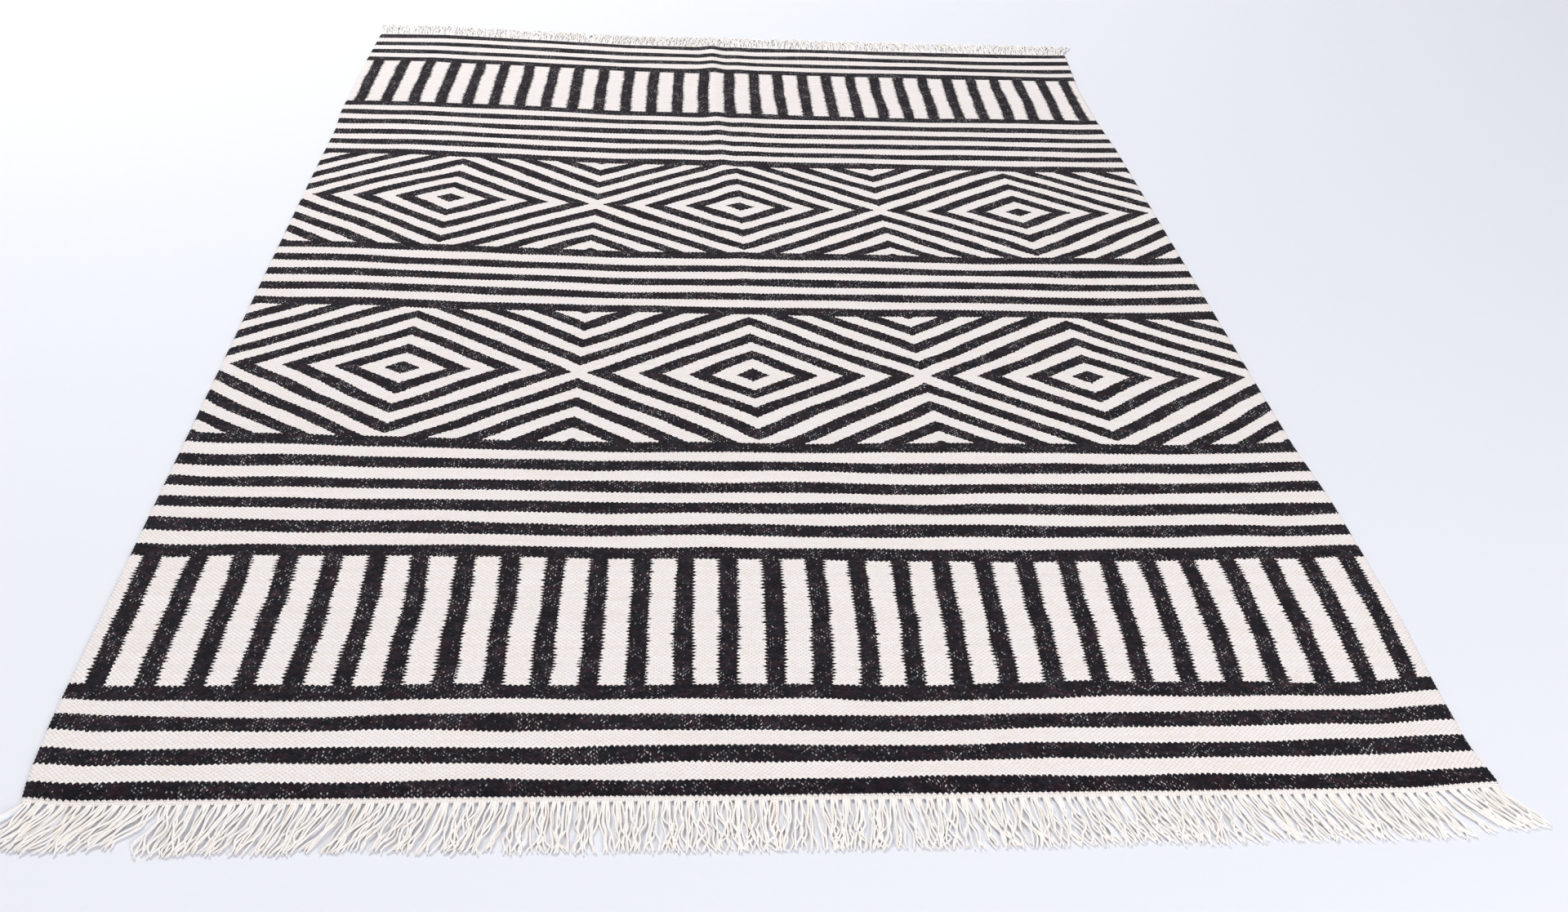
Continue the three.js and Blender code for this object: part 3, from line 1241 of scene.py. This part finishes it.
@dataclass
class Fringe:
    """The loose warp ends past one heading, five plied cords to a bundle."""

    plan: ClothPlan
    end: End
    finish: bpy.types.Material
    lean: Course
    seed: int
    heading_edge: float
    tuck: float = 0.0015
    bundles: int = 124
    cords_each: int = 5
    length: float = 0.0738
    length_spread: float = 0.0016
    radius: float = 0.00125
    steps: int = 16
    sides: int = 6
    tip_at: float = 0.9
    tip_taper: float = 0.25
    bundle_half_width: float = 0.0034
    bundle_fan: tuple[float, float] = (1.6, 0.45)
    cord_spread: float = 0.0016
    bundle_lean: float = 0.0055
    cord_lean: float = 0.0034
    stray_lean: float = 0.014
    stray_share: float = 0.05
    widest_lean: float = 0.052
    bundle_wave: float = 0.0028
    cord_wave: float = 0.0037
    widest_wave: float = 0.0075
    wave_turns: tuple[float, float] = (0.7, 1.5)
    ripple: float = 0.0019
    ripple_turns: float = 2.6
    root_height: float = 0.0021
    root_drop: float = 0.22
    layers: int = 3
    layer_step: float = 1.15
    unevenness: float = 0.00025
    lean_ease: float = 1.5
    spread_ease: float = 0.8
    sway_ease: float = 0.7
    pile_start: float = 0.05
    pile_ease: float = 0.7
    look_ahead: float = 0.01
    map_columns: int = 31
    map_margin: float = 0.08
    piece: bpy.types.Object = field(init=False)

    @property
    def root(self) -> float:
        """How far past the field's end the cords start, tucked a little under the heading's edge."""
        return self.heading_edge - self.tuck

    def build(self) -> None:
        """Makes all the cords of one end as one mesh."""
        count = self.bundles * self.cords_each
        mesh = copies_of(unit_tube(self.steps, self.sides), count)
        tube = points_of(mesh).reshape(count, -1, 3)
        down = tube[:, :, 0]
        lie = self._lie(count)
        spine = self._spine(lie, down)
        ahead = self._spine(lie, down + self.look_ahead)
        tangent = ahead - spine
        tangent /= np.linalg.norm(tangent, axis=-1, keepdims=True)
        side = np.cross((0.0, 0.0, 1.0), tangent)
        side /= np.linalg.norm(side, axis=-1, keepdims=True)
        up = np.cross(tangent, side)
        to_tip = np.clip((down - self.tip_at) / (1 - self.tip_at), 0, 1)
        radius = self.radius * (1 - self.tip_taper * to_tip)[..., None]
        points = spine + radius * (tube[:, :, 1:2] * side + tube[:, :, 2:3] * up)
        points += np.array([self.plan.centre.x, self.plan.centre.y, 0.0])
        points[..., 2] = np.maximum(points[..., 2], 0)
        move_points(mesh, *points.reshape(-1, 3).T)
        self._lay_bake_map(mesh, count)
        self.piece = new_object(f"{self.end.name.lower()}_fringe_cords", mesh, self.finish)

    def _lie(self, count: int) -> CordLie:
        """Draws how each cord lies, bundle by bundle.

        Args:
            count: How many cords there are.

        Returns:
            The cords' lie.
        """
        rng = np.random.default_rng(self.seed)
        bundle = np.repeat(np.arange(self.bundles), self.cords_each)
        place = np.tile(np.arange(self.cords_each), self.bundles)
        across = (bundle + 0.5) / self.bundles
        slot = (place / (self.cords_each - 1) - 0.5) * 2 * self.bundle_half_width
        together = smooth_chance(rng, self.bundles, 2)[bundle] * self.bundle_lean
        stray = rng.normal(0, self.stray_lean, count) * (rng.uniform(0, 1, count) < self.stray_share)
        lean = self.lean.read(across) * MM + together + rng.normal(0, self.cord_lean, count) + stray
        lean = np.clip(lean, -self.widest_lean, self.widest_lean)
        fan = rng.normal(*self.bundle_fan, self.bundles)[bundle]
        spread = slot * fan + rng.normal(0, self.cord_spread, count)
        wave = rng.normal(0, self.cord_wave, count)
        wave = wave + self.bundle_wave * smooth_chance(rng, self.bundles, 1)[bundle]
        wave = np.clip(wave, -self.widest_wave, self.widest_wave)
        ripple = np.clip(rng.normal(0, self.ripple, count), -self.widest_wave / 2, self.widest_wave / 2)
        turns = rng.uniform(*self.wave_turns, count)
        start_turn = rng.uniform(0, 1, count)
        order = rng.permuted(np.tile(np.arange(self.cords_each), (self.bundles, 1)), axis=1).ravel()
        layer = order % self.layers
        length = self.length + rng.normal(0, self.length_spread, count)
        raised = rng.uniform(0, self.unevenness, count)
        traits = (across, slot, spread, lean, wave, ripple, turns, start_turn, layer, length, raised)
        return CordLie(*(trait[:, None] for trait in traits))

    def _spine(self, lie: CordLie, down: np.ndarray) -> np.ndarray:
        """The cords' middle lines.

        Args:
            lie: How each cord lies.
            down: Shares of the way from root to tip, one row for each cord.

        Returns:
            A point for each share.
        """
        root_x, root_y = self.plan.place(lie.across, np.full(lie.across.shape, self.end.along))
        shift = down ** self.lean_ease
        open_out = down ** self.spread_ease
        sway = np.sin((down * lie.turns + lie.start_turn) * math.tau) * down ** self.sway_ease
        x = (root_x + lie.slot) + lie.lean * shift + (lie.spread - lie.slot) * open_out
        rippled = np.sin((down * self.ripple_turns + lie.start_turn) * math.tau) * down
        x = x + lie.wave * sway + lie.ripple * rippled
        reach = np.sqrt(lie.length ** 2 - lie.lean ** 2) - self.root
        y = root_y + self.end.value * (self.root + reach * down)
        drop = np.clip(down / self.root_drop, 0, 1)
        fall = 1 - drop * drop * (3 - 2 * drop)
        past_start = np.clip((down - self.pile_start) / (1 - self.pile_start), 0, 1)
        pile = np.sin(np.pi * past_start) ** self.pile_ease
        floor_height = self.radius * (1 + self.layer_step * lie.layer * pile) + lie.raised
        z = floor_height + (self.root_height - self.radius) * fall + self.plan.lift(x, y)
        return np.stack([x, y, z], axis=-1)

    def _lay_bake_map(self, mesh: bpy.types.Mesh, count: int) -> None:
        """Gives each cord its own small cell of the bake map, with its caps in the cell's corner.

        Args:
            mesh: All the cords.
            count: How many cords there are.
        """
        wide = self.map_columns
        high = math.ceil(count / wide)
        wound = map_of(mesh, WEAVE_MAP).reshape(count, -1, 2)
        cell = np.arange(count)
        corner = np.stack([cell % wide, cell // wide], axis=-1)[:, None, :]
        inner = self.map_margin + (1 - 2 * self.map_margin) * np.clip(wound, 0, 1)
        set_map(mesh, BAKE_MAP, ((corner + inner) / np.array([wide, high])).reshape(-1, 2))

    def declare(self) -> None:
        """Says what the cords ride on and stand for."""
        claim(self.piece, self.end.node)


@dataclass(frozen=True)
class Panel:
    """A square light panel. Its place and the point that it faces are from the field's middle."""

    name: str
    place: tuple[float, float, float]
    aim: tuple[float, float, float]
    size: float
    watts: float


@dataclass(frozen=True)
class Studio:
    """A pale floor, soft white light and the camera that took the rug in."""

    plan: ClothPlan
    floor_reach: float = 9.0
    floor_drop: float = 0.0002
    wall_height: float = 4.5
    cove: float = 3.0
    cove_steps: int = 12
    camera_from_middle: tuple[float, float, float] = (-0.1414, -2.2889, 1.2706)
    heading_deg: float = 5.81
    pitch_deg: float = -35.86
    roll_deg: float = 3.95
    focal_px: float = 1751.5
    frame_px: float = 1920.0
    sensor_mm: float = 36.0
    sky: Colour = (0.97, 0.97, 1.0, 1)
    sky_strength: float = 0.45
    panels: tuple[Panel, ...] = (
        Panel("key_panel", (-3.5, 6.0, 5.5), (-0.4, 0.4, 0.0), 2.5, 585.0),
        Panel("front_panel", (2.0, -4.5, 2.0), (0.4, -1.0, 0.0), 2.0, 120.0),
    )

    def build(self) -> None:
        """Makes the floor, the lights and the camera."""
        self._floor()
        self._sky()
        for panel in self.panels:
            self._hang(panel)
        self._camera()
        bpy.context.scene.view_settings.view_transform = "Standard"
        log.info("studio: floor, sky, two panels and camera")

    def _floor(self) -> None:
        """A plain floor just under the rug, which sweeps up into a low wall all round."""
        shape = bmesh.new()
        bmesh.ops.create_grid(shape, x_segments=1, y_segments=1, size=self.floor_reach)
        raised = bmesh.ops.extrude_edge_only(shape, edges=shape.edges[:])
        tops = [part for part in raised["geom"] if isinstance(part, bmesh.types.BMVert)]
        bmesh.ops.translate(shape, verts=tops, vec=(0, 0, self.wall_height))
        folds = [edge for edge in shape.edges if not edge.is_boundary]
        bmesh.ops.bevel(
            shape, geom=folds, offset=self.cove, affect="EDGES", segments=self.cove_steps, profile=0.5,
            material=-1,
        )
        bmesh.ops.translate(shape, verts=shape.verts[:], vec=(0, 0, -self.floor_drop))
        mesh = bpy.data.meshes.new("floor")
        shape.to_mesh(mesh)
        shape.free()
        new_object("studio_floor", mesh, PaleFloor().material())

    def _sky(self) -> None:
        """An even white light from all round."""
        world = bpy.data.worlds.new("studio_light")
        world.use_nodes = True
        background = world.node_tree.nodes["Background"]
        background.inputs["Color"].default_value = self.sky
        background.inputs["Strength"].default_value = self.sky_strength
        bpy.context.scene.world = world

    def _hang(self, panel: Panel) -> None:
        """Hangs a light panel and turns it to the point that it faces.

        Args:
            panel: The panel.
        """
        light = bpy.data.lights.new(panel.name, "AREA")
        light.shape = "SQUARE"
        light.size = panel.size
        light.energy = panel.watts
        lamp = bpy.data.objects.new(panel.name, light)
        lamp.location = self.plan.centre + Vector(panel.place)
        towards = Vector(panel.aim) - Vector(panel.place)
        lamp.rotation_euler = towards.to_track_quat("-Z", "Y").to_euler()
        bpy.context.scene.collection.objects.link(lamp)

    def _camera(self) -> None:
        """Sets the camera by its place, heading, pitch and roll, with the photograph's angle of view."""
        turns = (self.heading_deg, self.pitch_deg, self.roll_deg)
        heading, pitch, roll = (math.radians(turn) for turn in turns)
        ahead = Vector((
            math.sin(heading) * math.cos(pitch), math.cos(heading) * math.cos(pitch), math.sin(pitch)
        ))
        level_right = Vector((math.cos(heading), -math.sin(heading), 0))
        level_up = level_right.cross(ahead)
        right = level_right * math.cos(roll) + level_up * math.sin(roll)
        up = right.cross(ahead)
        lens = bpy.data.cameras.new("camera")
        lens.sensor_fit = "HORIZONTAL"
        lens.sensor_width = self.sensor_mm
        lens.lens = self.focal_px / self.frame_px * self.sensor_mm
        camera = bpy.data.objects.new("camera", lens)
        turn = Matrix((right, up, -ahead)).transposed()
        top_of_cloth = Vector((0, 0, self.plan.thickness))
        place = self.plan.centre + Vector(self.camera_from_middle) + top_of_cloth
        camera.matrix_world = Matrix.Translation(place) @ turn.to_4x4()
        bpy.context.scene.collection.objects.link(camera)
        bpy.context.scene.camera = camera


NEAR_LEAN = Course(
    (0, .03, .086, .087, .13, .2, .315, .316, .6, .75, .955, .956, 1),
    (-27, -34, -44, -10, -8, -23, -17, -2, 5, 22, 20, 44, 46),
)
FAR_LEAN = Course((0, .12, .4, .7, .88, 1), (-16, -6, 8, -4, 6, 18))


def main() -> None:
    """Builds every piece in order and says what each one stands for."""
    logging.basicConfig(level=logging.INFO, format="%(name)s: %(message)s")
    plan = ClothPlan()
    Studio(plan).build()
    wool = WoolWeave().material(plan)
    cord_cotton = PliedCotton().material()
    band_cotton = TwinedCotton().material()
    cloth = WovenField(plan, wool)
    cloth.build()
    trims = [Selvedge(plan, side, wool) for side in Side]
    for end, lean, seed in ((End.NEAR, NEAR_LEAN, 7), (End.FAR, FAR_LEAN, 19)):
        band = Heading(plan, end, band_cotton)
        trims += [band, Fringe(plan, end, cord_cotton, lean, seed, band.outer_edge)]
    for trim in trims:
        trim.build()
        trim.declare()
    cloth.declare([trim.piece for trim in trims])


if __name__ == "__main__":
    main()
